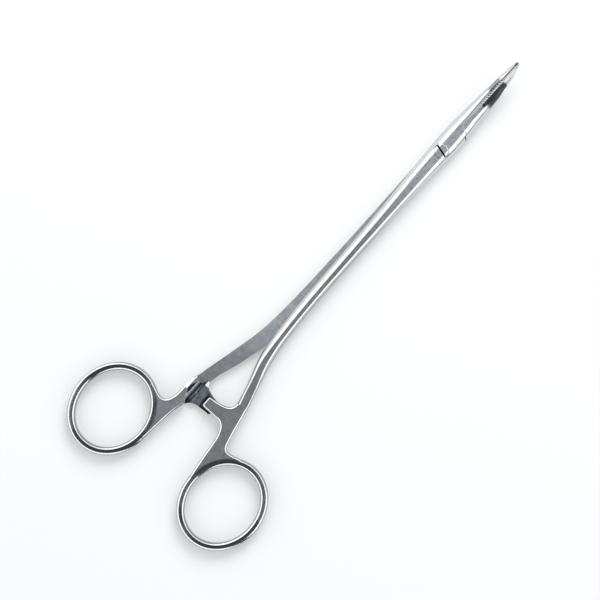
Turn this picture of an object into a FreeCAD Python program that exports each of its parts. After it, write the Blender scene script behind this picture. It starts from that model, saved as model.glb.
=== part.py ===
"""Curved hemostat forceps with a lap joint, ring handles and a ratchet.

Frame: +Z up, the instrument lies flat on Z = 0 with its jaw tips curving up.
+Y runs from the finger rings to the tips, +X to the side of the upper arm's
ring. Every piece is drawn in one drawing frame, half-way along the tool, and
its Placement moves it so that the origin is at the bottom centre of the box.

upper_arm    right-hand ring, upper half of the lap, left jaw
lower_arm    left-hand ring, lower half of the lap, right jaw
pivot_screw  slotted flush screw, fast in the lower arm
"""
import FreeCAD, Part
import math
import os
import Sketcher

V = FreeCAD.Vector
R = FreeCAD.Rotation
doc = FreeCAD.newDocument("hemostat")

# ---------------------------------------------------------------- dimensions
sheet = doc.addObject("Spreadsheet::Sheet", "Dims")
_row = [0]


def cell(alias, value, note=""):
    """One driving dimension: a plain number, its alias and a remark."""
    _row[0] += 1
    r = _row[0]
    sheet.set("A%d" % r, alias)
    sheet.set("B%d" % r, repr(round(float(value), 5)))
    if note:
        sheet.set("C%d" % r, note)
    sheet.setAlias("B%d" % r, alias)
    return float(value)


shift_x = cell("shift_x", 0.375, "drawing frame to box centre, across")
shift_y = cell("shift_y", 0.7, "drawing frame to box centre, along")
pivot_x = cell("pivot_x", 0.0, "pivot axis in the drawing frame")
pivot_y = cell("pivot_y", 59.3, "pivot axis in the drawing frame")
lap_z = cell("lap_height", 2.8, "height of the lap plane")
lap_gap = cell("lap_gap", 0.04, "clearance between the lapped faces")
step_gap = cell("step_gap", 0.14, "clearance at the shoulder of each jaw")
joint_t = cell("joint_thickness", 5.6)
ring_t = cell("ring_thickness", 4.6, "rings and necks, standing on Z = 0")
ring_a = cell("ring_outer_half_width", 15.1)
ring_b = cell("ring_outer_half_length", 17.2)
wall = cell("ring_wall", 2.8)
crown_R = cell("ring_crown_radius", 3.6, "slightly crowned top and bottom of the ring")
crown_w = cell("ring_crown_half_width", 0.62)
neck_r = cell("neck_rounding", 0.6)
tip_r = cell("tip_rounding", 0.55, "how far the corners of the tips are taken back")
uring_x = cell("upper_ring_x", 25.0)
uring_y = cell("upper_ring_y", -83.5)
lring_x = cell("lower_ring_x", -25.75)
lring_y = cell("lower_ring_y", -84.0)
jaw_y = cell("jaw_bend_start", 68.0, "where the jaws start to curve up")
jaw_R = cell("jaw_bend_radius", 70.0)
seam_x = cell("seam_x", -0.3, "line along which the jaws meet")
seam_gap = cell("seam_gap", 0.06, "between the closed jaw faces")
pitch = cell("serration_pitch", 1.0)
depth_u = cell("upper_serration_depth", 0.72)
depth_l = cell("lower_serration_depth", 0.34)
half_y = cell("half_section_end", -56.0, "where the half section of the shanks ends")
head_r = cell("head_radius", 2.45)
head_z = cell("head_seat_height", 4.3)
stem_r = cell("stem_radius", 1.6)
tail_r = cell("tail_radius", 1.45, "end that is fast in the lower arm")
rim_c = cell("head_rim", 0.12, "chamfer of the screw head and of its seat")
seam_c = cell("seam_chamfer", 0.38, "along the edges of the upper arm's jaw face")
run_gap = cell("running_gap", 0.05, "radial clearance round the screw")
slot_w = cell("slot_width", 0.64)
slot_d = cell("slot_depth", 0.9)
slot_a = cell("slot_angle", -14.5)
tooth_p = cell("tooth_pitch", 3.6)
tooth_h = cell("tooth_height", 0.75)
tooth_lo = cell("lower_crest", 2.4, "crests of the lower bar's teeth")
tooth_up = cell("upper_crest", 2.5, "crests of the upper bar's teeth")
bar_lo = cell("lower_bar_base", 0.3)
hollow_z = cell("hollow_floor", 1.5, "floor of the hollow behind the teeth")

# Stations of the closed tool from pivot to tips, shared by both arms:
# along, left edge, facet left, facet right, right edge, half height
SHARED = [
    (50.0, -3.55, -1.30, 1.50, 3.40, 2.80),
    (54.0, -3.70, -1.32, 1.48, 3.55, 2.80),
    (58.0, -3.88, -1.36, 1.52, 3.78, 2.80),
    (61.5, -4.03, -1.43, 1.61, 4.03, 2.80),
    (64.5, -4.06, -1.46, 1.63, 4.10, 2.80),
    (66.5, -4.04, -1.46, 1.60, 4.10, 2.80),
    (68.5, -3.97, -1.45, 1.50, 3.99, 2.80),
    (70.5, -3.86, -1.43, 1.38, 3.83, 2.77),
    (73.0, -3.70, -1.42, 1.22, 3.60, 2.68),
    (76.0, -3.48, -1.40, 1.12, 3.36, 2.52),
    (80.0, -3.19, -1.45, 1.14, 3.10, 2.29),
    (84.0, -2.88, -1.56, 1.36, 2.82, 2.05),
    (88.0, -2.53, -1.50, 1.32, 2.47, 1.80),
    (92.0, -2.13, -1.20, 0.90, 2.02, 1.55),
    (96.0, -1.66, -0.84, 0.42, 1.42, 1.30),
    (99.35, -1.14, -0.64, 0.16, 0.74, 1.06),
]
# Stations of each shank, from the neck to the joint, with the top height:
# along, left edge, facet left, facet right, right edge, top
UPPER = [
    (-58.0, 6.30, 7.10, 9.40, 10.10, 4.48),
    (-52.0, 5.15, 6.05, 8.75, 9.40, 4.61),
    (-46.0, 3.55, 4.45, 7.00, 7.75, 4.76),
    (-40.0, 1.55, 2.75, 4.95, 6.15, 4.88),
    (-34.0, 0.05, 1.60, 3.40, 4.80, 4.96),
    (-28.0, -0.75, 1.12, 2.55, 3.90, 5.04),
    (-20.0, -1.42, 0.62, 1.98, 3.25, 5.14),
    (-10.0, -1.92, 0.22, 1.60, 2.86, 5.24),
    (0.0, -2.15, 0.02, 1.44, 2.76, 5.33),
    (10.0, -2.30, -0.12, 1.40, 2.76, 5.41),
    (20.0, -2.46, -0.32, 1.40, 2.80, 5.48),
    (30.0, -2.68, -0.55, 1.42, 2.87, 5.54),
    (38.0, -2.96, -0.82, 1.47, 3.00, 5.58),
    (44.0, -3.26, -1.08, 1.50, 3.18, 5.60),
]
LOWER = [
    (-58.0, -11.20, -10.40, -8.10, -7.20, 4.48),
    (-52.0, -10.50, -9.60, -7.00, -6.15, 4.61),
    (-46.0, -9.02, -7.90, -5.40, -4.25, 4.76),
    (-40.0, -7.58, -6.25, -3.85, -2.45, 4.88),
    (-34.0, -6.20, -4.75, -2.45, -0.85, 4.96),
    (-28.0, -5.15, -3.60, -1.50, 0.45, 5.04),
    (-20.0, -4.40, -2.80, -0.90, 1.25, 5.14),
    (-10.0, -3.93, -2.25, -0.50, 1.75, 5.24),
    (0.0, -3.70, -1.95, -0.30, 2.05, 5.33),
    (10.0, -3.56, -1.75, -0.10, 2.28, 5.41),
    (20.0, -3.48, -1.60, 0.15, 2.48, 5.48),
    (30.0, -3.45, -1.48, 0.50, 2.70, 5.54),
    (38.0, -3.44, -1.40, 0.85, 2.92, 5.58),
    (44.0, -3.47, -1.33, 1.15, 3.12, 5.60),
]
CREASE = math.radians(18.0)


def flank(w, limit):
    """Drop and radius of the rounded flank that leaves the facet at CREASE."""
    c = math.radians(42.0 + 14.0 * max(0.0, min(1.0, (2.4 - w) / 1.8)))
    d = min(w * math.tan(c), limit)
    c = math.atan2(d, w)
    turn = max(c - CREASE, math.radians(6.0))
    return d, math.hypot(w, d) / (2.0 * math.sin(turn))


def stations(tag, own):
    """Writes one arm's stations in the sheet and returns them as alias stems."""
    out = []
    rows = [(y, a, b, c, d, top - lap_z, lap_z) for y, a, b, c, d, top in own]
    rows += [(y, a, b, c, d, h, h) for y, a, b, c, d, h in SHARED]
    for i, (y, xl, fl, fr, xr, up, down) in enumerate(rows):
        stem = "%s%02d" % (tag, i)
        low = min(up, down)
        dl, rl = flank(fl - xl, low - 0.12)
        dr, rr = flank(xr - fr, low - 0.12)
        s = max(0.0, (y - jaw_y) / jaw_R)
        phi = math.degrees(math.asin(s))
        rise = jaw_R * (1.0 - math.cos(math.asin(s)))
        for name, value in (
            ("along", y), ("left", xl), ("fleft", fl), ("fright", fr),
            ("right", xr), ("up", up), ("down", down), ("dl", dl), ("dr", dr),
            ("rl", rl), ("rr", rr), ("tilt", phi), ("rise", rise),
        ):
            cell("%s_%s" % (stem, name), value)
        out.append((stem, y, xl, fl, fr, xr, up, down, dl, dr, rl, rr, phi, rise))
    return out


U_ST = stations("upper", UPPER)
L_ST = stations("lower", LOWER)
doc.recompute()


# ---------------------------------------------------------------- helpers
def plane(body, role):
    return [f for f in body.Origin.OriginFeatures if f.Role == role][0]


def new_body(label):
    body = doc.addObject("PartDesign::Body", label)
    body.Label = label
    return body


def sketch(body, name, role, base=V(0, 0, 0), rot=R()):
    sk = body.newObject("Sketcher::SketchObject", name)
    sk.AttachmentSupport = [(plane(body, role), "")]
    sk.MapMode = "FlatFace"
    sk.AttachmentOffset = FreeCAD.Placement(base, rot)
    return sk


def arc3(p0, p1, radius, bulge):
    """Arc from p0 to p1 of a radius, its middle displaced towards bulge."""
    mid = (p0 + p1) * 0.5
    half = (p1 - p0).Length * 0.5
    n = V(-(p1 - p0).y, (p1 - p0).x, 0)
    n.normalize()
    if n.dot(bulge) < 0:
        n = n * -1
    sag = radius - math.sqrt(max(radius * radius - half * half, 0.0))
    return Part.Arc(p0, mid + n * sag, p1)


def bind(sk, kind, args, value, expression):
    i = sk.addConstraint(Sketcher.Constraint(kind, *(list(args) + [value])))
    sk.setExpression("Constraints[%d]" % i, expression)
    return i


def section(body, st):
    """One eight-sided station: two facets, two sides and four flanks."""
    stem, y, xl, fl, fr, xr, up, down, dl, dr, rl, rr, phi, rise = st
    sk = sketch(body, "sec_" + stem, "XZ_Plane",
                V(0, lap_z + rise, -y), R(V(1, 0, 0), phi))
    pts = [V(fl, up, 0), V(fr, up, 0), V(xr, up - dr, 0), V(xr, -down + dr, 0),
           V(fr, -down, 0), V(fl, -down, 0), V(xl, -down + dl, 0),
           V(xl, up - dl, 0)]
    out = [V(0, 1, 0), V(1, 1, 0), V(1, 0, 0), V(1, -1, 0),
           V(0, -1, 0), V(-1, -1, 0), V(-1, 0, 0), V(-1, 1, 0)]
    geo = []
    for i in range(8):
        p, q = pts[i], pts[(i + 1) % 8]
        if i % 2 == 0:
            geo.append(Part.LineSegment(p, q))
        else:
            geo.append(arc3(p, q, rr if i in (1, 3) else rl, out[i]))
    sk.addGeometry(geo, False)
    # lines carry the vertices; arcs join them (an arc's ends swap when it is
    # stored counter-clockwise, so the nearer end is looked up)
    cons = []
    for i in range(0, 8, 2):
        for j, pos in (((i + 1) % 8, 2), ((i - 1) % 8, 1)):
            p = pts[(i + 1) % 8] if pos == 2 else pts[i]
            e1 = sk.getPoint(j, 1)
            near = 1 if e1.distanceToPoint(p) < 1e-4 else 2
            cons.append(Sketcher.Constraint("Coincident", i, pos, j, near))
    sk.addConstraint(cons)
    s = "Dims.%s_" % stem
    place = {
        (0, 1): ("fleft", "up"), (0, 2): ("fright", "up"),
        (4, 1): ("fright", "-down"), (4, 2): ("fleft", "-down"),
    }
    for (g, pos), (ex, ey) in place.items():
        p = sk.getPoint(g, pos)
        bind(sk, "DistanceX", (-1, 1, g, pos), p.x, s + ex)
        bind(sk, "DistanceY", (-1, 1, g, pos), p.y,
             ("-" + s + "down") if ey == "-down" else s + ey)
    for g, ex, dd in ((2, "right", "dr"), (6, "left", "dl")):
        for pos in (1, 2):
            p = sk.getPoint(g, pos)
            bind(sk, "DistanceX", (-1, 1, g, pos), p.x, s + ex)
            high = p.y > 0 or (g == 2 and pos == 1) or (g == 6 and pos == 2)
            if high:
                bind(sk, "DistanceY", (-1, 1, g, pos), p.y, s + "up - " + s + dd)
            else:
                bind(sk, "DistanceY", (-1, 1, g, pos), p.y, "-" + s + "down + " + s + dd)
    for g in (1, 3, 5, 7):
        bind(sk, "Radius", (g,), rr if g in (1, 3) else rl,
             s + ("rr" if g in (1, 3) else "rl"))
    sk.setExpression("AttachmentOffset.Base.z", "-" + s + "along")
    sk.setExpression("AttachmentOffset.Base.y", "Dims.lap_height + " + s + "rise")
    return sk


def loft(body, name, sections):
    f = body.newObject("PartDesign::AdditiveLoft", name)
    f.Profile = sections[0]
    f.Sections = sections[1:]
    f.Ruled = False
    f.Closed = False
    for s in sections:
        s.Visibility = False
    return f


def spline(points):
    c = Part.BSplineCurve()
    c.interpolate([V(x, y, 0) for x, y in points])
    return c


def outline(sk, parts):
    """Closed outline: two points make a line, more a spline, "arc" an arc."""
    geo = []
    for p in parts:
        if p[0] == "arc":
            geo.append(Part.Arc(*[V(x, y, 0) for x, y in p[1:]]))
        elif len(p) == 2:
            geo.append(Part.LineSegment(V(p[0][0], p[0][1], 0), V(p[1][0], p[1][1], 0)))
        else:
            geo.append(spline(p))
    sk.addGeometry(geo, False)
    n = len(geo)
    ends = []
    for p in parts:
        q = p[1:] if p[0] == "arc" else p
        ends.append((V(q[0][0], q[0][1], 0), V(q[-1][0], q[-1][1], 0)))
    for i in range(n):
        j = (i + 1) % n
        a = 2 if sk.getPoint(i, 2).distanceToPoint(ends[i][1]) < 1e-5 else 1
        b = 1 if sk.getPoint(j, 1).distanceToPoint(ends[j][0]) < 1e-5 else 2
        sk.addConstraint(Sketcher.Constraint("Coincident", i, a, j, b))
    return sk


def polygon(sk, pts):
    n = len(pts)
    return outline(sk, [[pts[i], pts[(i + 1) % n]] for i in range(n)])


def pad(body, name, sk, length, expression=None):
    f = body.newObject("PartDesign::Pad", name)
    f.Profile = sk
    f.Length = length
    if expression:
        f.setExpression("Length", expression)
    sk.Visibility = False
    return f


def cut(body, name, sk, through=False, length=1.0, reverse=False, expression=None,
        both=False):
    f = body.newObject("PartDesign::Pocket", name)
    f.Profile = sk
    f.Type = 1 if through else 0
    if not through:
        f.Length = length
    if both:
        f.Midplane = True
    f.Reversed = reverse
    if expression:
        f.setExpression("Length", expression)
    sk.Visibility = False
    return f


def volume_step(body, feature, sign, what):
    """Recomputes and makes sure that a feature added or removed metal."""
    before = volume_step.last.get(body.Name, 0.0)
    doc.recompute()
    now = feature.Shape.Volume
    if "Invalid" in feature.State or "Error" in feature.State:
        raise RuntimeError("%s: feature failed" % what)
    if sign * (now - before) <= 1e-6:
        raise RuntimeError("%s: no change of volume (%.3f to %.3f)" % (what, before, now))
    volume_step.last[body.Name] = now
    print("%-34s %10.3f mm3" % (what, now))
    return feature


volume_step.last = {}


def point_step(body, base, feature, point, what):
    """Recomputes and makes sure that a small cut took off a given point.

    The volume taken off is smaller than the accuracy of the long lofted
    faces' volume, so a point near the corner is looked at instead.
    """
    doc.recompute()
    if "Invalid" in feature.State or "Error" in feature.State:
        raise RuntimeError("%s: feature failed" % what)
    if not base.Shape.isInside(point, 1e-6, True) or feature.Shape.isInside(point, 1e-6, True):
        raise RuntimeError("%s: the corner is unchanged" % what)
    if abs(feature.Shape.Volume - base.Shape.Volume) > 2.0:
        raise RuntimeError("%s: took off too much" % what)
    volume_step.last[body.Name] = feature.Shape.Volume
    print("%-34s %10.3f mm3" % (what, feature.Shape.Volume))
    return feature


def ellipse_at(sk, x, y, a, b, ex, ey, ea, eb):
    """Ellipse with its long axis along Y, bound to the sheet."""
    g = sk.addGeometry(Part.Ellipse(V(x, y + b, 0), V(x + a, y, 0), V(x, y, 0)), False)
    sk.exposeInternalGeometry(g)
    bind(sk, "DistanceX", (-1, 1, g, 3), x, ex)
    bind(sk, "DistanceY", (-1, 1, g, 3), y, ey)
    # the internal geometry is the long axis, the short axis and two foci
    sk.addConstraint(Sketcher.Constraint("Vertical", g + 1))
    bind(sk, "Distance", (g + 1,), 2 * b, eb)
    bind(sk, "Distance", (g + 2,), 2 * a, ea)
    return g


def edges_where(feature, test):
    names = []
    for i, e in enumerate(feature.Shape.Edges):
        mid = e.valueAt((e.FirstParameter + e.LastParameter) / 2.0)
        if test(e, mid):
            names.append("Edge%d" % (i + 1))
    return names


# ---------------------------------------------------------------- one arm
def arm(label, st, upper):
    body = new_body(label)
    tag = "u" if upper else "l"
    cx, cy = (uring_x, uring_y) if upper else (lring_x, lring_y)
    which = "upper" if upper else "lower"
    # neck, ratchet bar and web to the ring, drawn as one outline
    sk = sketch(body, tag + "_neck_outline", "XY_Plane")
    if upper:
        outline(sk, [
            [(5.50, -53.6), (5.50, -54.3), (5.10, -55.6), (4.20, -56.6),
             (2.80, -57.25), (0.80, -57.75), (-1.00, -58.06), (-2.60, -58.26)],
            ["arc", (-2.60, -58.26), (-3.13, -58.48), (-3.35, -59.01)],
            [(-3.35, -59.01), (-3.35, -61.65)],
            ["arc", (-3.35, -61.65), (-3.13, -62.18), (-2.60, -62.40)],
            [(-2.60, -62.40), (3.40, -62.40)],
            [(3.40, -62.40), (4.90, -62.70), (6.25, -63.70), (7.20, -65.35), (7.85, -67.50),
             (8.40, -72.0), (8.88, -76.0), (9.38, -79.5), (9.74, -82.0), (10.12, -84.0)],
            [(10.12, -84.0), (11.45, -84.0)],
            [(11.45, -84.0), (11.90, -79.0), (13.10, -75.3), (15.10, -72.0), (17.60, -69.9),
             (20.8, -68.4)],
            [(20.8, -68.4), (20.8, -67.55)],
            [(20.8, -67.55), (18.9, -67.75), (17.0, -68.25), (15.2, -68.65), (13.75, -68.45),
             (12.75, -67.1), (12.0, -64.6), (11.25, -61.5), (10.55, -58.0), (9.80, -54.6),
             (9.56, -53.6)],
            [(9.56, -53.6), (5.50, -53.6)],
        ])
    else:
        outline(sk, [
            [(-6.42, -53.6), (-6.45, -54.4), (-6.20, -55.6), (-5.40, -56.6),
             (-4.20, -57.2), (-2.40, -57.7), (-0.90, -57.98), (0.15, -58.13)],
            ["arc", (0.15, -58.13), (0.68, -58.35), (0.90, -58.88)],
            [(0.90, -58.88), (0.90, -62.65)],
            ["arc", (0.90, -62.65), (0.68, -63.18), (0.15, -63.40)],
            [(0.15, -63.40), (-1.60, -63.44), (-3.60, -63.58), (-5.40, -63.92), (-6.90, -64.6),
             (-7.95, -65.8), (-8.75, -67.8), (-9.50, -71.0), (-10.02, -75.0), (-10.36, -79.0),
             (-10.60, -82.0), (-10.88, -84.5)],
            [(-10.88, -84.5), (-12.15, -84.5)],
            [(-12.15, -84.5), (-12.60, -79.5), (-13.80, -75.8), (-15.85, -72.4), (-18.4, -70.3),
             (-21.6, -68.9)],
            [(-21.6, -68.9), (-21.6, -67.95)],
            [(-21.6, -67.95), (-19.8, -68.45), (-18.0, -69.15), (-16.2, -69.65), (-14.6, -69.35),
             (-13.35, -67.9), (-12.70, -65.6), (-12.50, -63.0), (-12.30, -60.0), (-11.75, -57.0),
             (-11.05, -54.6), (-10.75, -53.6)],
            [(-10.75, -53.6), (-6.42, -53.6)],
        ])
    neck = pad(body, tag + "_neck", sk, ring_t, "Dims.ring_thickness")
    volume_step(body, neck, 1, label + " neck and bar")
    # its free edges are rounded; those that end up inside ring or shank aren't
    def neck_edge(e, m):
        flat = abs(m.z) < 1e-3 or abs(m.z - ring_t) < 1e-3
        if not flat or abs(e.valueAt(e.FirstParameter).z - m.z) > 1e-3:
            return False
        if abs(m.y + 53.6) < 1e-3 or e.Length < 0.1:
            return False
        x, y = m.x - cx, m.y - cy
        return (x / (ring_a - 0.6)) ** 2 + (y / (ring_b - 0.6)) ** 2 > 1.0
    f = body.newObject("PartDesign::Fillet", tag + "_neck_rounding")
    f.Base = (neck, edges_where(neck, neck_edge))
    f.Radius = neck_r
    f.setExpression("Radius", "Dims.neck_rounding")
    volume_step(body, f, -1, label + " neck rounding")

    # finger ring: an oval path swept with a rounded section
    sk = sketch(body, tag + "_ring_path", "XY_Plane", V(0, 0, ring_t / 2.0))
    sk.setExpression("AttachmentOffset.Base.z", "Dims.ring_thickness / 2")
    ellipse_at(sk, cx, cy, ring_a - wall / 2.0, ring_b - wall / 2.0,
               "Dims.%s_ring_x" % which, "Dims.%s_ring_y" % which,
               "2 * (Dims.ring_outer_half_width - Dims.ring_wall / 2)",
               "2 * (Dims.ring_outer_half_length - Dims.ring_wall / 2)")
    sp = sketch(body, tag + "_ring_section", "XZ_Plane", V(0, ring_t / 2.0, -cy))
    sp.setExpression("AttachmentOffset.Base.y", "Dims.ring_thickness / 2")
    sp.setExpression("AttachmentOffset.Base.z", "-Dims.%s_ring_y" % which)
    xc = cx + (ring_a - wall / 2.0)
    hx, hz = wall / 2.0, ring_t / 2.0
    crown = math.asin(crown_w / crown_R)
    drop = crown_R * (1.0 - math.cos(crown))
    r2 = (hx - crown_w) / (1.0 - math.sin(crown))
    quarter = []
    for sx, sz in ((1, 1), (1, -1), (-1, -1), (-1, 1)):
        pts = []
        for k in (0.0, 0.5, 1.0):
            a = crown + k * (math.pi / 2.0 - crown)
            pts.append((xc + sx * (crown_w + r2 * (math.sin(a) - math.sin(crown))),
                        sz * (hz - drop - r2 * (math.cos(crown) - math.cos(a)))))
        quarter.append(pts)
    outline(sp, [
        ["arc"] + quarter[0],
        [quarter[0][2], quarter[1][2]],
        ["arc"] + quarter[1][::-1],
        ["arc", quarter[1][0], (xc, -hz), quarter[2][0]],
        ["arc"] + quarter[2],
        [quarter[2][2], quarter[3][2]],
        ["arc"] + quarter[3][::-1],
        ["arc", quarter[3][0], (xc, hz), quarter[0][0]],
    ])
    ring = body.newObject("PartDesign::AdditivePipe", tag + "_ring")
    ring.Profile = sp
    ring.Spine = sk
    ring.Mode = "Standard"
    sk.Visibility = False
    sp.Visibility = False
    volume_step(body, ring, 1, label + " ring")

    # shank, joint and jaws of the closed tool in one loft, then what belongs
    # to the other arm is taken off
    sections = [section(body, s) for s in st]
    blank = loft(body, tag + "_blank", sections)
    volume_step(body, blank, 1, label + " blank")
    return body


def step_line(side):
    """The shoulder across which a jaw rises out of the lap, from the seam out."""
    pts = [(seam_x, 71.35), (0.8, 70.55), (2.3, 69.45), (3.6, 68.35), (4.9, 67.1)]
    if side > 0:
        return pts
    return [(2 * seam_x - x, y) for x, y in pts]


def lap(body, upper):
    """Takes the other arm's half off: half the thickness, and one jaw."""
    tag = "u" if upper else "l"
    g = seam_gap / 2.0
    side = 1 if upper else -1
    # the other arm's jaw, beyond the shoulder
    line = step_line(side)
    sx = seam_x - side * g
    off = 0.0
    pts = [(sx, 108.0), (side * 14.0, 108.0), (side * 14.0, line[-1][1] - off)]
    pts += [(x, y - off) for x, y in reversed(line[1:])]
    pts += [(sx, line[0][1] - off)]
    sk = sketch(body, tag + "_other_jaw", "XY_Plane", V(0, 0, lap_z))
    polygon(sk, pts)
    sk.setExpression("AttachmentOffset.Base.z", "Dims.lap_height")
    f = cut(body, tag + "_other_jaw_cut", sk, through=True)
    f.Midplane = True
    volume_step(body, f, -1, body.Label + " other jaw off")
    # half the thickness, up to the arm's own jaw root
    mine = step_line(-side)
    pts = [(-side * 16.0, half_y), (-side * 16.0, mine[-1][1] + step_gap)]
    pts += [(x, y + step_gap) for x, y in reversed(mine[1:])]
    pts += [(seam_x, mine[0][1] + step_gap), (side * 16.0, mine[0][1] + step_gap), (side * 16.0, half_y)]
    z = lap_z + (lap_gap / 2.0 if upper else -lap_gap / 2.0)
    sk = sketch(body, tag + "_half", "XY_Plane", V(0, 0, z))
    polygon(sk, pts)
    sk.setExpression("AttachmentOffset.Base.z",
                     "Dims.lap_height %s Dims.lap_gap / 2" % ("+" if upper else "-"))
    f = cut(body, tag + "_half_cut", sk, length=12.0, reverse=not upper)
    volume_step(body, f, -1, body.Label + " half thickness off")


def tip(body, st, upper):
    """Rounds the tip, seen square to the jaw from above and from the side."""
    tag = "u" if upper else "l"
    y, xl, xr, h, phi, rise = [st[-1][k] for k in (1, 2, 5, 6, 12, 13)]
    mid, half = (xl + xr) / 2.0, (xr - xl) / 2.0 + 0.06
    sk = sketch(body, tag + "_tip_plan", "XY_Plane", V(0, y, lap_z + rise), R(V(1, 0, 0), phi))
    outline(sk, [
        ["arc", (mid - half, -tip_r), (mid, -0.05), (mid + half, -tip_r)],
        [(mid + half, -tip_r), (4, -tip_r)], [(4, -tip_r), (4, 3)],
        [(4, 3), (-4, 3)], [(-4, 3), (-4, -tip_r)], [(-4, -tip_r), (mid - half, -tip_r)],
    ])
    base = body.Tip
    f = cut(body, tag + "_tip_plan_cut", sk, through=True, both=True)
    c, s = math.cos(math.radians(phi)), math.sin(math.radians(phi))

    def at(x, v, w):
        return V(x, y + v * c - w * s, lap_z + rise + v * s + w * c)
    edge = xl + 0.06 if upper else xr - 0.06
    point_step(body, base, f, at(edge, -0.10, 0.0), body.Label + " tip rounded in plan")
    sk = sketch(body, tag + "_tip_side", "YZ_Plane", V(y, lap_z + rise, 0), R(V(0, 0, 1), phi))
    h, e = h + 0.05, 0.8 * tip_r
    outline(sk, [
        ["arc", (-e, -h), (-0.02, 0), (-e, h)],
        [(-e, h), (-e, 4)], [(-e, 4), (3, 4)], [(3, 4), (3, -4)],
        [(3, -4), (-e, -4)], [(-e, -4), (-e, -h)],
    ])
    base = f
    f = cut(body, tag + "_tip_side_cut", sk, through=True, both=True)
    point_step(body, base, f, at(seam_x + (-0.35 if upper else 0.2), -0.2, h - 0.17),
               body.Label + " tip rounded in side view")


def break_seam(body):
    """Chamfers the long edges of the upper arm's jaw face."""
    x0 = seam_x - seam_gap / 2.0
    base = body.Tip

    def seam_edge(e, m):
        ends = (m, e.valueAt(e.FirstParameter), e.valueAt(e.LastParameter))
        return e.Length > 8.0 and m.y > 75.0 and all(abs(q.x - x0) < 1e-3 for q in ends)
    names = edges_where(base, seam_edge)
    ch = body.newObject("PartDesign::Chamfer", "u_seam_rim")
    ch.Base = (base, names)
    ch.Size = seam_c
    ch.setExpression("Size", "Dims.seam_chamfer")
    volume_step(body, ch, -1, body.Label + " seam chamfer")


def ratchet(body, upper):
    """Saw teeth across the bar: under the upper one, on top of the lower one."""
    tag = "u" if upper else "l"
    first = 0.1 if upper else 0.0
    h = tooth_h
    if upper:
        c = tooth_up
        pts = [(-5.0, -2.0), (-5.0, c + 0.62), (-3.35, c + 0.62), (first, c), (first, c + h)]
        pts += [(first + tooth_p, c), (first + tooth_p, c + h)]
        pts += [(4.45, c + h), (4.55, c + h - 0.6), (4.62, -2.0)]
        sk = sketch(body, "u_teeth", "XZ_Plane", V(0, 0, 67.0))
        polygon(sk, pts)
        f = cut(body, "u_teeth_cut", sk, length=11.5)
        volume_step(body, f, -1, body.Label + " teeth")
        return
    c = tooth_lo
    pts = [(2.5, 9.0), (2.5, c - 0.6), (first, c), (first, c - h)]
    for k in (1, 2):
        pts += [(first - k * tooth_p, c), (first - k * tooth_p, c - h)]
    pts[-1] = (first - 2 * tooth_p, hollow_z)
    pts += [(first - 2 * tooth_p - 0.35, hollow_z), (first - 2 * tooth_p - 0.35, 9.0)]
    sk = sketch(body, "l_teeth", "XZ_Plane", V(0, 0, 67.0))
    polygon(sk, pts)
    f = cut(body, "l_teeth_cut", sk, length=12.3)
    volume_step(body, f, -1, body.Label + " teeth")
    # hollow behind the teeth, where the upper bar's tip goes on full closing
    x1 = first - 2 * tooth_p
    sk = sketch(body, "l_hollow", "XY_Plane", V(0, 0, hollow_z))
    sk.setExpression("AttachmentOffset.Base.z", "Dims.hollow_floor")
    outline(sk, [
        [(x1 + 0.0, -54.72), (-8.30, -56.35)],
        [(-8.30, -56.35), (-9.70, -57.10), (-10.50, -58.40), (-10.95, -60.0), (-10.90, -61.3)],
        [(-10.90, -61.3), (-10.05, -62.6)],
        [(-10.05, -62.6), (-9.45, -64.2), (-8.55, -65.4), (-7.20, -66.3)],
        [(-7.20, -66.3), (x1 + 0.0, -54.72)],
    ])
    f = cut(body, "l_hollow_cut", sk, length=8.0, reverse=True)
    volume_step(body, f, -1, body.Label + " hollow")
    # its rim is broken towards the ring
    rim = edges_where(f, lambda e, m: m.z > 3.5 and -66.0 < m.y < -62.0 and m.x > -10.3
                      and abs(e.valueAt(e.FirstParameter).z - e.valueAt(e.LastParameter).z) < 0.05
                      and -10.2 < m.x < -8.2 and e.Length > 1.5)
    ch = body.newObject("PartDesign::Chamfer", "l_rim")
    ch.Base = (f, rim)
    ch.Size = 0.3
    volume_step(body, ch, -1, body.Label + " hollow rim")
    # scooped floor, and a bevel along the outer side of the step
    sk = sketch(body, "l_scoop", "XZ_Plane", V(0, 0, 67.0))
    outline(sk, [
        ["arc", (-10.75, hollow_z + 0.9), (-9.4, hollow_z - 0.42), (x1, hollow_z - 0.05)],
        [(x1, hollow_z - 0.05), (x1, hollow_z + 0.9)],
        [(x1, hollow_z + 0.9), (-10.75, hollow_z + 0.9)],
    ])
    f = cut(body, "l_scoop_cut", sk, length=12.3)
    volume_step(body, f, -1, body.Label + " scooped floor")
    sk = sketch(body, "l_bevel", "XZ_Plane", V(0, 0, 61.4))
    polygon(sk, [(-11.15, 5.2), (-11.15, 4.65), (-12.95, 3.55), (-13.4, 3.55), (-13.4, 5.2)])
    f = cut(body, "l_bevel_cut", sk, length=5.6)
    volume_step(body, f, -1, body.Label + " bevel")
    # underside of the lower bar
    sk = sketch(body, "l_bar_base", "XY_Plane", V(0, 0, bar_lo))
    sk.setExpression("AttachmentOffset.Base.z", "Dims.lower_bar_base")
    polygon(sk, [(-5.6, -50.0), (3.0, -50.0), (3.0, -68.0), (-5.6, -68.0)])
    f = cut(body, "l_bar_base_cut", sk, length=3.0)
    volume_step(body, f, -1, body.Label + " bar underside")


def circle(sk, x, y, radius, expression):
    g = sk.addGeometry(Part.Circle(V(x, y, 0), V(0, 0, 1), radius), False)
    bind(sk, "DistanceX", (-1, 1, g, 3), x, "Dims.pivot_x")
    bind(sk, "DistanceY", (-1, 1, g, 3), y, "Dims.pivot_y")
    bind(sk, "Radius", (g,), radius, expression)
    return g


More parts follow.
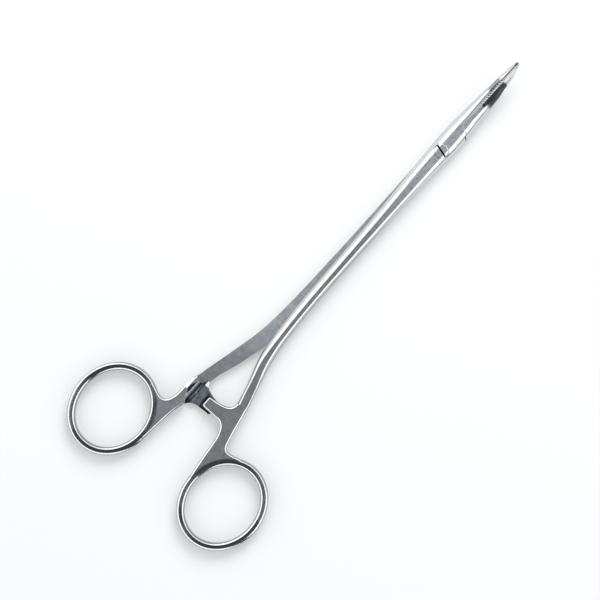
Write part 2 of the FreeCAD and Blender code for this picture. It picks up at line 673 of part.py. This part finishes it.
def screw_hole(body, upper):
    if upper:
        sk = sketch(body, "u_stem_hole", "XY_Plane", V(0, 0, 0))
        circle(sk, pivot_x, pivot_y, stem_r + run_gap, "Dims.stem_radius + Dims.running_gap")
        f = cut(body, "u_stem_hole_cut", sk, length=9.0, reverse=True)
        volume_step(body, f, -1, body.Label + " stem hole")
        sk = sketch(body, "u_head_seat", "XY_Plane", V(0, 0, head_z - run_gap))
        sk.setExpression("AttachmentOffset.Base.z", "Dims.head_seat_height - Dims.running_gap")
        circle(sk, pivot_x, pivot_y, head_r + run_gap, "Dims.head_radius + Dims.running_gap")
        f = cut(body, "u_head_seat_cut", sk, length=5.0, reverse=True)
        volume_step(body, f, -1, body.Label + " head seat")
        rim = edges_where(f, lambda e, m: m.z > 4.8 and abs(
            math.hypot(m.x - pivot_x, m.y - pivot_y) - head_r - run_gap) < 0.01)
        ch = body.newObject("PartDesign::Chamfer", "u_seat_rim")
        ch.Base = (f, rim)
        ch.Size = rim_c
        ch.setExpression("Size", "Dims.head_rim")
        volume_step(body, ch, -1, body.Label + " seat rim")
    else:
        sk = sketch(body, "l_tail_hole", "XY_Plane", V(0, 0, 0))
        circle(sk, pivot_x, pivot_y, tail_r, "Dims.tail_radius")
        f = cut(body, "l_tail_hole_cut", sk, length=9.0, reverse=True)
        f.Type = 1
        f.Midplane = True
        volume_step(body, f, -1, body.Label + " screw hole")


def serrate(body, upper):
    """Cross grooves on the jaw face, square to the jaw's curve."""
    tag = "u" if upper else "l"
    side = -1 if upper else 1
    x0 = seam_x + side * seam_gap / 2.0
    # first groove just past the joint, then the rest round the bend's axis
    start = math.asin(4.6 / jaw_R) + (0.0 if upper else pitch / 2.0 / jaw_R)
    n = 27
    depth = depth_u if upper else depth_l
    sk = sketch(body, tag + "_groove", "XY_Plane",
                V(0, jaw_y + jaw_R * math.sin(start), lap_z + jaw_R * (1 - math.cos(start))),
                R(V(1, 0, 0), math.degrees(start)))
    hp = pitch / 2.0 - 0.03
    over = 0.1 * hp / depth
    polygon(sk, [(x0 - side * 0.1, -hp - over), (x0 + side * depth, 0),
                 (x0 - side * 0.1, hp + over)])
    f = cut(body, tag + "_groove_cut", sk, length=9.0)
    f.Midplane = True
    volume_step(body, f, -1, body.Label + " first groove")
    ax = sketch(body, tag + "_bend_axis", "XY_Plane", V(0, 0, lap_z + jaw_R))
    ax.setExpression("AttachmentOffset.Base.z", "Dims.lap_height + Dims.jaw_bend_radius")
    ax.addGeometry(Part.LineSegment(V(-10, jaw_y, 0), V(10, jaw_y, 0)), True)
    bind(ax, "DistanceY", (-1, 1, 0, 1), jaw_y, "Dims.jaw_bend_start")
    bind(ax, "DistanceY", (-1, 1, 0, 2), jaw_y, "Dims.jaw_bend_start")
    ax.Visibility = False
    p = body.newObject("PartDesign::PolarPattern", tag + "_grooves")
    p.Originals = [f]
    p.Axis = (ax, ["Axis0"])
    p.Angle = math.degrees((n - 1) * pitch / jaw_R)
    p.setExpression("Angle", "%d * Dims.serration_pitch / Dims.jaw_bend_radius * 180 deg / pi" % (n - 1))
    p.Occurrences = n
    body.Tip = p
    volume_step(body, p, -1, body.Label + " grooves")
    return p


doc.recompute()
upper_arm = arm("upper_arm", U_ST, True)
lap(upper_arm, True)
break_seam(upper_arm)
tip(upper_arm, U_ST, True)
ratchet(upper_arm, True)
screw_hole(upper_arm, True)
serrate(upper_arm, True)
lower_arm = arm("lower_arm", L_ST, False)
lap(lower_arm, False)
tip(lower_arm, L_ST, False)
ratchet(lower_arm, False)
screw_hole(lower_arm, False)
serrate(lower_arm, False)

# ---------------------------------------------------------------- the screw
# Its head follows the arm's own crowned top, so it is cut from the same
# stations as the joint.
pivot_screw = new_body("pivot_screw")
sections = [section(pivot_screw, ("upper%02d" % (len(UPPER) + i),) + U_ST[len(UPPER) + i][1:])
            for i in range(0, 7)]
volume_step(pivot_screw, loft(pivot_screw, "s_blank", sections), 1, "screw blank")


def collar(name, z, r_out, r_in, expression, through=False):
    """Takes off everything between two radii below a height."""
    sk = sketch(pivot_screw, name, "XY_Plane", V(0, 0, z))
    polygon(sk, [(-r_out, pivot_y - r_out), (r_out, pivot_y - r_out),
                 (r_out, pivot_y + r_out), (-r_out, pivot_y + r_out)])
    circle(sk, pivot_x, pivot_y, r_in, expression)
    f = cut(pivot_screw, name + "_cut", sk, through=through, length=12.0)
    if through:
        f.Midplane = True
    volume_step(pivot_screw, f, -1, name)
    return sk


collar("s_head", lap_z, 30.0, head_r, "Dims.head_radius", through=True)
base = pivot_screw.Tip
ch = pivot_screw.newObject("PartDesign::Chamfer", "s_head_rim")
ch.Base = (base, edges_where(base, lambda e, m: m.z > 4.8 and abs(
    math.hypot(m.x - pivot_x, m.y - pivot_y) - head_r) < 0.01))
ch.Size = rim_c
ch.setExpression("Size", "Dims.head_rim")
volume_step(pivot_screw, ch, -1, "head rim")
sk = collar("s_stem", head_z, 6.0, stem_r, "Dims.stem_radius")
sk = collar("s_tail", lap_z - lap_gap / 2.0, 6.0, tail_r, "Dims.tail_radius")
sk = sketch(pivot_screw, "s_end", "XY_Plane", V(0, 0, 0.05))
polygon(sk, [(-5, pivot_y - 5), (5, pivot_y - 5), (5, pivot_y + 5), (-5, pivot_y + 5)])
volume_step(pivot_screw, cut(pivot_screw, "s_end_cut", sk, length=3.0), -1, "screw end")
sk = sketch(pivot_screw, "s_slot", "XY_Plane",
            V(pivot_x, pivot_y, joint_t - slot_d), R(V(0, 0, 1), slot_a))
sk.setExpression("AttachmentOffset.Base.z", "Dims.joint_thickness - Dims.slot_depth")
polygon(sk, [(-4, -slot_w / 2.0), (4, -slot_w / 2.0), (4, slot_w / 2.0), (-4, slot_w / 2.0)])
volume_step(pivot_screw, cut(pivot_screw, "s_slot_cut", sk, length=4.0, reverse=True), -1,
            "screw slot")

# ---------------------------------------------------------------- output
bodies = [upper_arm, lower_arm, pivot_screw]
for b in bodies:
    b.Placement = FreeCAD.Placement(V(shift_x, shift_y, 0), R())
doc.recompute()
for o in doc.Objects:
    if "Invalid" in o.State or "Error" in o.State:
        raise RuntimeError("%s is %s" % (o.Name, o.State))
for b in bodies:
    s = b.Shape
    if s.isNull() or not s.isValid() or len(s.Solids) != 1:
        raise RuntimeError("%s: bad shape, %d solids" % (b.Label, len(s.Solids)))
os.makedirs("parts", exist_ok=True)
for b in bodies:
    b.Shape.exportStep("parts/%s.step" % b.Label)
    bb = b.Shape.BoundBox
    print("%-12s %9.2f mm3  x %.3f %.3f  y %.3f %.3f  z %.3f %.3f" % (
        b.Label, b.Shape.Volume, bb.XMin, bb.XMax, bb.YMin, bb.YMax, bb.ZMin, bb.ZMax))
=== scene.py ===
"""Looks of the hemostat forceps: polished and satin stainless steel on a pale
floor, seen from straight above."""

import math

import bpy
from mathutils import Matrix, Vector

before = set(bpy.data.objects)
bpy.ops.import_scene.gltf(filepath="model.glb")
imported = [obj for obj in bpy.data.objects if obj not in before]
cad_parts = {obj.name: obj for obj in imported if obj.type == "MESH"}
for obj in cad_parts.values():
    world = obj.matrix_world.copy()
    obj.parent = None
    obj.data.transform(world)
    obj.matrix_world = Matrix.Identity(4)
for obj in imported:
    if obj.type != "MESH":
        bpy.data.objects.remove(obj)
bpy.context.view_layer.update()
scene = bpy.context.scene


# ---------------------------------------------------------------- node helpers
def tree_of(owner):
    owner.use_nodes = True
    t = owner.node_tree
    t.nodes.clear()
    return t


def node(t, kind, **values):
    n = t.nodes.new(kind)
    for k, v in values.items():
        if hasattr(n, k) and k not in n.inputs:
            setattr(n, k, v)
        else:
            n.inputs[k].default_value = v
    return n


def math_node(t, op, a, b=None, clamp=False):
    n = t.nodes.new("ShaderNodeMath")
    n.operation = op
    n.use_clamp = clamp
    for i, v in enumerate((a, b)):
        if v is None:
            continue
        if isinstance(v, (int, float)):
            n.inputs[i].default_value = v
        else:
            t.links.new(v, n.inputs[i])
    return n.outputs[0]


def smooth(t, value, lo, hi, to_lo=0.0, to_hi=1.0):
    n = t.nodes.new("ShaderNodeMapRange")
    n.interpolation_type = "SMOOTHSTEP"
    n.inputs["From Min"].default_value = lo
    n.inputs["From Max"].default_value = hi
    n.inputs["To Min"].default_value = to_lo
    n.inputs["To Max"].default_value = to_hi
    t.links.new(value, n.inputs["Value"])
    return n.outputs["Result"]


# ---------------------------------------------------------------- camera
RIGHT = Vector((0.7463, 0.6656, 0.0))
UP = Vector((-0.6656, 0.7463, 0.0))
DISTANCE = 0.80
FIELD = 0.2094
cam = bpy.data.cameras.new("camera")
cam.lens = 36.0 * (DISTANCE - 0.004) / FIELD
cam.sensor_width = 36.0
cam.clip_start, cam.clip_end = 0.01, 10.0
cam_ob = bpy.data.objects.new("camera", cam)
scene.collection.objects.link(cam_ob)
cam_ob.matrix_world = Matrix((
    (RIGHT.x, UP.x, 0.0, -0.001825),
    (RIGHT.y, UP.y, 0.0, -0.0115),
    (0.0, 0.0, 1.0, DISTANCE),
    (0.0, 0.0, 0.0, 1.0),
))
scene.camera = cam_ob

# ---------------------------------------------------------------- surroundings
world = bpy.data.worlds.new("studio")
scene.world = world
t = tree_of(world)
coord = node(t, "ShaderNodeTexCoord")
sep = node(t, "ShaderNodeSeparateXYZ")
t.links.new(coord.outputs["Generated"], sep.inputs[0])
x, y, z = sep.outputs
# components of the direction towards the bottom and the right of the picture
down = math_node(t, "ADD", math_node(t, "MULTIPLY", x, 0.6656), math_node(t, "MULTIPLY", y, -0.7463))
side = math_node(t, "ADD", math_node(t, "MULTIPLY", x, 0.7463), math_node(t, "MULTIPLY", y, 0.6656))
tilt = math_node(t, "MULTIPLY", math_node(t, "ARCCOSINE", z), 180.0 / math.pi)
# a dark patch straight above, where the camera is
overhead = smooth(t, tilt, 15.0, 27.0, 1.0, 0.0)


def slope_line(factor, offset, width=0.03):
    """0 on one side of a line in the plane of side and down, 1 beyond it."""
    v = math_node(t, "SUBTRACT", down, math_node(t, "MULTIPLY", side, factor))
    return smooth(t, v, offset - width, offset + width)


# a dark shape leaning over from the bottom right of the picture
figure = math_node(t, "MULTIPLY", slope_line(0.604, 0.364), math_node(t, "SUBTRACT", 1.0, slope_line(0.389, 0.690)))
figure = math_node(t, "MULTIPLY", figure, smooth(t, side, -0.33, -0.27))
figure = math_node(t, "MULTIPLY", figure, smooth(t, z, 0.08, 0.16))
# a darker horizon all round, darkest on the lower side of the picture
low = math_node(t, "MULTIPLY", smooth(t, z, 0.05, 0.42, 1.0, 0.0), smooth(t, down, -0.7, 0.4, 0.25, 1.0))
dark = math_node(t, "MAXIMUM", overhead, math_node(t, "MAXIMUM", figure, math_node(t, "MULTIPLY", low, 0.60)))
bright = math_node(t, "MULTIPLY", smooth(t, down, -0.9, 0.9, 1.62, 1.40), smooth(t, z, 0.05, 0.55, 0.62, 1.14))
# less light from beyond the tips than from the sides
bright = math_node(t, "MULTIPLY", bright, smooth(t, y, 0.50, 0.80, 1.0, 0.42))
level = math_node(t, "MULTIPLY", bright, math_node(t, "SUBTRACT", 1.0, math_node(t, "MULTIPLY", dark, 0.965)))
mix = node(t, "ShaderNodeMix", data_type="RGBA")
t.links.new(dark, mix.inputs[0])
mix.inputs[6].default_value = (1.0, 1.0, 1.0, 1.0)
mix.inputs[7].default_value = (0.88, 0.96, 1.10, 1.0)
bg = node(t, "ShaderNodeBackground")
t.links.new(mix.outputs[2], bg.inputs["Color"])
t.links.new(level, bg.inputs["Strength"])
out = node(t, "ShaderNodeOutputWorld")
t.links.new(bg.outputs[0], out.inputs["Surface"])

# the soft light that throws the shadows, from the top of the picture
def softbox(name, direction, distance, size, power):
    d = Vector(direction).normalized()
    light = bpy.data.lights.new(name, "AREA")
    light.shape = "DISK"
    light.size = size
    light.energy = power
    ob = bpy.data.objects.new(name, light)
    scene.collection.objects.link(ob)
    ob.location = d * distance
    ob.rotation_mode = "QUATERNION"
    ob.rotation_quaternion = d.to_track_quat("Z", "Y")
    ob.visible_glossy = False
    return ob


softbox("window", (-0.293, 0.708, 0.643), 1.2, 0.8, 15.5)

# floor
me = bpy.data.meshes.new("floor")
s = 1.5
me.from_pydata([(-s, -s, -0.00002), (s, -s, -0.00002), (s, s, -0.00002), (-s, s, -0.00002)], [], [(0, 1, 2, 3)])
floor = bpy.data.objects.new("floor", me)
scene.collection.objects.link(floor)
m = bpy.data.materials.new("floor")
t = tree_of(m)
b = node(t, "ShaderNodeBsdfPrincipled")
b.inputs["Base Color"].default_value = (0.385, 0.390, 0.396, 1.0)
b.inputs["Roughness"].default_value = 0.55
b.inputs["Specular IOR Level"].default_value = 0.25
b.inputs["Emission Color"].default_value = (0.985, 0.992, 1.0, 1.0)
b.inputs["Emission Strength"].default_value = 0.31
out = node(t, "ShaderNodeOutputMaterial")
t.links.new(b.outputs[0], out.inputs["Surface"])
me.materials.append(m)

scene.view_settings.view_transform = "Standard"
scene.view_settings.look = "None"
scene.view_settings.exposure = 0.0


# ---------------------------------------------------------------- steel
def band(t, value, a, b, c, d):
    """1 between b and c, falling to 0 at a and d."""
    return math_node(t, "MULTIPLY", smooth(t, value, a, b), smooth(t, value, c, d, 1.0, 0.0))


def steel(name, tones, reach, ring=None, satin_end=None, work=None, painted_light_patches=()):
    """Polished stainless steel with satin-ground flats.

    tones are the colours of the flats before and behind the reach along Y,
    ring is the centre of the finger ring, which is polished all over, satin_end is
    where the flats end, and work is the box of the unpolished ratchet recess
    or the line of the screw slot, both darkened with painted shade. Each
    patch is a painted highlight or a painted shade: (from x, to x, softness),
    (from y, to y, softness at either end), how much y falls per mm of x,
    colour, amount and roughness.
    All lengths are in millimetres."""
    m = bpy.data.materials.new(name)
    t = tree_of(m)
    coord = node(t, "ShaderNodeTexCoord")
    mm = node(t, "ShaderNodeVectorMath", operation="SCALE")
    mm.inputs["Scale"].default_value = 1000.0
    t.links.new(coord.outputs["Object"], mm.inputs[0])
    pos = node(t, "ShaderNodeSeparateXYZ")
    t.links.new(mm.outputs[0], pos.inputs[0])
    px, py, pz = pos.outputs
    geo = node(t, "ShaderNodeNewGeometry")
    sep = node(t, "ShaderNodeSeparateXYZ")
    t.links.new(geo.outputs["Normal"], sep.inputs[0])
    up = math_node(t, "ABSOLUTE", sep.outputs[2])
    # the jaws bend upwards, so their flats lean by a known angle there
    bend = math_node(t, "MULTIPLY", math_node(t, "MAXIMUM", math_node(t, "SUBTRACT", py, 68.7), 0.0), 1.0 / 70.0)
    lean = math_node(t, "SQRT", math_node(t, "SUBTRACT", 1.0, math_node(t, "MULTIPLY", bend, bend)))
    tilt_to = node(t, "ShaderNodeCombineXYZ")
    t.links.new(math_node(t, "MULTIPLY", bend, -1.0), tilt_to.inputs[1])
    t.links.new(lean, tilt_to.inputs[2])
    dot = node(t, "ShaderNodeVectorMath", operation="DOT_PRODUCT")
    t.links.new(geo.outputs["Normal"], dot.inputs[0])
    t.links.new(tilt_to.outputs[0], dot.inputs[1])
    flat = smooth(t, math_node(t, "MAXIMUM", dot.outputs["Value"], up), 0.990, 0.9985)
    if ring:
        ex = math_node(t, "MULTIPLY", math_node(t, "SUBTRACT", px, ring[0]), 1.0 / 15.1)
        ey = math_node(t, "MULTIPLY", math_node(t, "SUBTRACT", py, ring[1]), 1.0 / 17.2)
        r2 = math_node(t, "ADD", math_node(t, "MULTIPLY", ex, ex), math_node(t, "MULTIPLY", ey, ey))
        flat = math_node(t, "MULTIPLY", flat, smooth(t, r2, 0.84, 1.02))
    if satin_end:
        flat = math_node(t, "MULTIPLY", flat, smooth(t, py, satin_end - 0.4, satin_end + 0.4, 1.0, 0.0))
    # fine grinding marks along the tool, and a mottled, uneven satin
    stretch = node(t, "ShaderNodeMapping")
    stretch.inputs["Scale"].default_value = (6.0, 0.55, 6.0)
    t.links.new(mm.outputs[0], stretch.inputs["Vector"])
    grain = node(t, "ShaderNodeTexNoise", noise_dimensions="3D")
    grain.inputs["Scale"].default_value = 1.0
    grain.inputs["Detail"].default_value = 5.0
    grain.inputs["Roughness"].default_value = 0.65
    t.links.new(stretch.outputs[0], grain.inputs["Vector"])
    blotch = node(t, "ShaderNodeTexNoise", noise_dimensions="3D")
    blotch.inputs["Scale"].default_value = 0.55
    blotch.inputs["Detail"].default_value = 5.0
    blotch.inputs["Roughness"].default_value = 0.62
    t.links.new(mm.outputs[0], blotch.inputs["Vector"])
    speck = node(t, "ShaderNodeTexNoise", noise_dimensions="3D")
    speck.inputs["Scale"].default_value = 2.2
    speck.inputs["Detail"].default_value = 3.0
    t.links.new(mm.outputs[0], speck.inputs["Vector"])
    rough_flat = math_node(t, "ADD", 0.315, math_node(t, "MULTIPLY", blotch.outputs["Fac"], 0.045))
    rough_flat = math_node(t, "ADD", rough_flat, math_node(t, "MULTIPLY", speck.outputs["Fac"], 0.012))
    rough_pol = math_node(t, "ADD", 0.055, math_node(t, "MULTIPLY", blotch.outputs["Fac"], 0.045))
    if ring:
        # the ring is worn duller, unevenly, on two opposite stretches
        wear = node(t, "ShaderNodeTexNoise", noise_dimensions="3D")
        wear.inputs["Scale"].default_value = 0.085
        wear.inputs["Detail"].default_value = 1.0
        t.links.new(mm.outputs[0], wear.inputs["Vector"])
        round_it = math_node(t, "ADD", math_node(t, "MULTIPLY", ex, 0.7463), math_node(t, "MULTIPLY", ey, 0.6656))
        worn = math_node(t, "MULTIPLY", smooth(t, wear.outputs["Fac"], 0.40, 0.58, 0.35, 1.0), smooth(t, r2, 1.0, 1.25, 1.0, 0.0))
        worn = math_node(t, "MULTIPLY", worn, smooth(t, math_node(t, "ABSOLUTE", round_it), 0.40, 0.85))
        rough_pol = math_node(t, "ADD", rough_pol, math_node(t, "MULTIPLY", worn, 0.15))
    rough = node(t, "ShaderNodeMix", data_type="FLOAT")
    t.links.new(flat, rough.inputs[0])
    t.links.new(rough_pol, rough.inputs[2])
    t.links.new(rough_flat, rough.inputs[3])
    rough = rough.outputs[0]
    # tone of the flats, along the tool and from spot to spot
    along = node(t, "ShaderNodeMix", data_type="RGBA")
    t.links.new(smooth(t, py, *reach), along.inputs[0])
    along.inputs[6].default_value = tuple(tones[0]) + (1.0,)
    along.inputs[7].default_value = tuple(tones[1]) + (1.0,)
    mottle = math_node(t, "ADD", math_node(t, "MULTIPLY", blotch.outputs["Fac"], 0.85),
                       math_node(t, "MULTIPLY", speck.outputs["Fac"], 0.50))
    mottle = math_node(t, "ADD", mottle, math_node(t, "MULTIPLY", grain.outputs["Fac"], 0.16))
    mottle = math_node(t, "ADD", mottle, 0.245)
    uneven = node(t, "ShaderNodeVectorMath", operation="SCALE")
    t.links.new(along.outputs[2], uneven.inputs[0])
    t.links.new(mottle, uneven.inputs["Scale"])
    tone = node(t, "ShaderNodeMix", data_type="RGBA")
    t.links.new(flat, tone.inputs[0])
    tone.inputs[6].default_value = (0.700, 0.705, 0.710, 1.0)
    t.links.new(uneven.outputs[0], tone.inputs[7])
    # painted shade on the upright sides, which are darker than the top
    side_shade = node(t, "ShaderNodeMix", data_type="RGBA")
    # the painted shade is full along the shanks and weaker at the joint
    steep = math_node(t, "MULTIPLY", smooth(t, up, 0.42, 0.74, 1.0, 0.0), smooth(t, py, 12.0, 48.0, 1.0, 0.30))
    t.links.new(steep, side_shade.inputs[0])
    t.links.new(tone.outputs[2], side_shade.inputs[6])
    side_shade.inputs[7].default_value = (0.25, 0.26, 0.275, 1.0)
    colour = side_shade.outputs[2]
    if work:
        kind = work[0]
        if kind == "box":
            (ax, bx), (ay, by), (az, bz) = work[1]
            inside = math_node(t, "MULTIPLY", band(t, px, ax - 0.3, ax, bx, bx + 0.3),
                               band(t, py, ay - 0.3, ay, by, by + 0.3))
            inside = math_node(t, "MULTIPLY", inside, band(t, pz, az - 0.2, az, bz - 0.15, bz + 0.15))
        else:
            # distance from the line of the slot, across it
            cx, cy, angle, width = work[1]
            sn, cs = math.sin(math.radians(angle)), math.cos(math.radians(angle))
            off = math_node(t, "ADD", math_node(t, "MULTIPLY", math_node(t, "SUBTRACT", px, cx), -sn),
                            math_node(t, "MULTIPLY", math_node(t, "SUBTRACT", py, cy), cs))
            inside = smooth(t, math_node(t, "ABSOLUTE", off), width / 2.0, width / 2.0 + 0.03, 1.0, 0.0)
            # painted highlight round the edge of the head, stronger on one side of the slot
            dx = math_node(t, "SUBTRACT", px, cx)
            dy = math_node(t, "SUBTRACT", py, cy)
            head_rim_highlight = math_node(t, "SQRT", math_node(t, "ADD", math_node(t, "MULTIPLY", dx, dx), math_node(t, "MULTIPLY", dy, dy)))
            head_rim_highlight = math_node(t, "MULTIPLY", smooth(t, head_rim_highlight, 2.10, 2.18), smooth(t, sep.outputs[2], 0.3, 0.6))
            head_rim_highlight = math_node(t, "MULTIPLY", head_rim_highlight, smooth(t, off, -0.4, 0.8, 0.12, 1.0))
            edge = node(t, "ShaderNodeMix", data_type="RGBA")
            t.links.new(head_rim_highlight, edge.inputs[0])
            t.links.new(colour, edge.inputs[6])
            edge.inputs[7].default_value = (0.95, 0.96, 0.97, 1.0)
            colour = edge.outputs[2]
            r0 = node(t, "ShaderNodeMix", data_type="FLOAT")
            t.links.new(head_rim_highlight, r0.inputs[0])
            t.links.new(rough, r0.inputs[2])
            r0.inputs[3].default_value = 0.55
            rough = r0.outputs[0]
        # painted shade: the ratchet recess and the screw slot are painted dark, mottled by the grain; the higher
        # roughness below is the unpolished finish
        recess_shade = node(t, "ShaderNodeMix", data_type="RGBA")
        t.links.new(inside, recess_shade.inputs[0])
        t.links.new(colour, recess_shade.inputs[6])
        shade = node(t, "ShaderNodeMix", data_type="RGBA")
        t.links.new(smooth(t, grain.outputs["Fac"], 0.35, 0.70), shade.inputs[0])
        shade.inputs[6].default_value = (0.055, 0.063, 0.074, 1.0) if kind == "box" else (0.02, 0.022, 0.025, 1.0)
        shade.inputs[7].default_value = (0.19, 0.21, 0.24, 1.0) if kind == "box" else (0.04, 0.042, 0.045, 1.0)
        # painted highlight on the slanting faces in the recess
        slope_highlight = node(t, "ShaderNodeMix", data_type="RGBA")
        t.links.new(math_node(t, "MULTIPLY", band(t, up, 0.30, 0.42, 0.86, 0.95), 0.75 if kind == "box" else 0.0),
                    slope_highlight.inputs[0])
        t.links.new(shade.outputs[2], slope_highlight.inputs[6])
        slope_highlight.inputs[7].default_value = (0.46, 0.49, 0.53, 1.0)
        t.links.new(slope_highlight.outputs[2], recess_shade.inputs[7])
        colour = recess_shade.outputs[2]
        r2 = node(t, "ShaderNodeMix", data_type="FLOAT")
        t.links.new(inside, r2.inputs[0])
        t.links.new(rough, r2.inputs[2])
        r2.inputs[3].default_value = 0.24
        rough = r2.outputs[0]
    # each patch paints a highlight or a shade into the colour, with its own roughness
    for (x0, x1, fx), (y0, y1, f0, f1), slant, tint, amount, rough_in in painted_light_patches:
        across = math_node(t, "ADD", py, math_node(t, "MULTIPLY", math_node(t, "SUBTRACT", px, x0), slant))
        inside = math_node(t, "MULTIPLY", band(t, px, x0 - fx, x0 + fx, x1 - fx, x1 + fx),
                           band(t, across, y0 - f0, y0 + f0, y1 - f1, y1 + f1))
        # only on the upper side, and a little uneven
        inside = math_node(t, "MULTIPLY", inside, smooth(t, sep.outputs[2], -0.2, 0.05))
        uneven_in = math_node(t, "ADD", 0.80, math_node(t, "MULTIPLY", speck.outputs["Fac"], 0.40))
        inside = math_node(t, "MULTIPLY", math_node(t, "MULTIPLY", inside, uneven_in), amount, clamp=True)
        painted_patch = node(t, "ShaderNodeMix", data_type="RGBA")
        t.links.new(inside, painted_patch.inputs[0])
        t.links.new(colour, painted_patch.inputs[6])
        painted_patch.inputs[7].default_value = tuple(tint) + (1.0,)
        colour = painted_patch.outputs[2]
        r3 = node(t, "ShaderNodeMix", data_type="FLOAT")
        t.links.new(inside, r3.inputs[0])
        t.links.new(rough, r3.inputs[2])
        r3.inputs[3].default_value = rough_in
        rough = r3.outputs[0]
    bump = node(t, "ShaderNodeBump")
    bump.inputs["Distance"].default_value = 0.00002
    strength = math_node(t, "ADD", 0.05, math_node(t, "MULTIPLY", flat, 0.03))
    t.links.new(strength, bump.inputs["Strength"])
    t.links.new(grain.outputs["Fac"], bump.inputs["Height"])
    b = node(t, "ShaderNodeBsdfPrincipled")
    b.inputs["Metallic"].default_value = 1.0
    t.links.new(colour, b.inputs["Base Color"])
    t.links.new(rough, b.inputs["Roughness"])
    t.links.new(bump.outputs[0], b.inputs["Normal"])
    out = node(t, "ShaderNodeOutputMaterial")
    t.links.new(b.outputs[0], out.inputs["Surface"])
    return m


mats = {
    "upper_arm": steel("upper_steel", ((0.415, 0.415, 0.421), (0.650, 0.692, 0.738)), (6.0, 52.0), ring=(25.375, -82.8),
                       satin_end=92.0, painted_light_patches=(
                           # painted shade along the seam towards the tip, and a painted highlight on the strip where
                           # the serrations show
                           ((-0.52, 0.30, 0.05), (91.3, 101.0, 0.8, 0.1), 0.0, (0.035, 0.037, 0.042), 0.96, 0.30),
                           ((-0.46, 0.30, 0.05), (84.6, 91.3, 0.8, 0.8), 0.0, (0.07, 0.075, 0.082), 0.84, 0.26),
                           ((-0.40, 0.30, 0.05), (72.2, 83.5, 0.5, 1.2), 0.0, (0.97, 0.975, 0.98), 0.92, 0.60),
                           # painted dark reflection on the facet towards the tip
                           ((-1.85, -0.34, 0.12), (86.6, 91.8, 0.6, 0.5), 0.0, (0.09, 0.095, 0.105), 0.66, 0.20),
                           # painted highlight along the edge of the shoulder in front of the screw, and painted shade
                           # in the gap at its outer end
                           ((0.2, 3.1, 0.2), (71.60, 72.05, 0.05, 0.05), 0.731, (0.90, 0.91, 0.92), 0.90, 0.45),
                           ((3.1, 5.6, 0.1), (69.45, 69.90, 0.05, 0.05), 0.904, (0.02, 0.02, 0.02), 0.90, 0.45),
                       )),
    "lower_arm": steel("lower_steel", ((0.448, 0.480, 0.508), (0.700, 0.737, 0.775)), (-48.0, -24.0), ring=(-25.375, -83.3),
                       satin_end=81.2, work=("box", ((-10.55, 5.0), (-65.4, -55.9), (0.5, 4.05))),
                       painted_light_patches=(
                           # deep shade under the edge of the upper bar
                           ((-3.45, 1.9, 0.25), (-63.6, -61.75, 0.1, 0.15), 0.09, (0.012, 0.013, 0.015), 0.95, 0.30),
                           # painted dark reflection on the jaw in front of the joint, a painted highlight on its tip,
                           # and painted shade along the seam
                           ((0.40, 4.0, 0.12), (82.4, 92.1, 0.9, 0.40), 0.0, (0.042, 0.046, 0.058), 0.93, 0.32),
                           ((0.30, 4.0, 0.05), (92.3, 101.0, 0.45, 0.1), 0.0, (0.80, 0.81, 0.82), 0.80, 0.38),
                           ((-0.1, 0.26, 0.05), (91.9, 101.0, 0.8, 0.1), 0.0, (0.035, 0.037, 0.042), 0.92, 0.30),
                       )),
    "pivot_screw": steel("screw_steel", ((0.650, 0.692, 0.738), (0.650, 0.692, 0.738)), (6.0, 52.0),
                         work=("slot", (0.375, 60.0, -14.5, 0.64))),
}
for n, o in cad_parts.items():
    for s in o.material_slots:
        s.link = "OBJECT"
        s.material = mats[n]
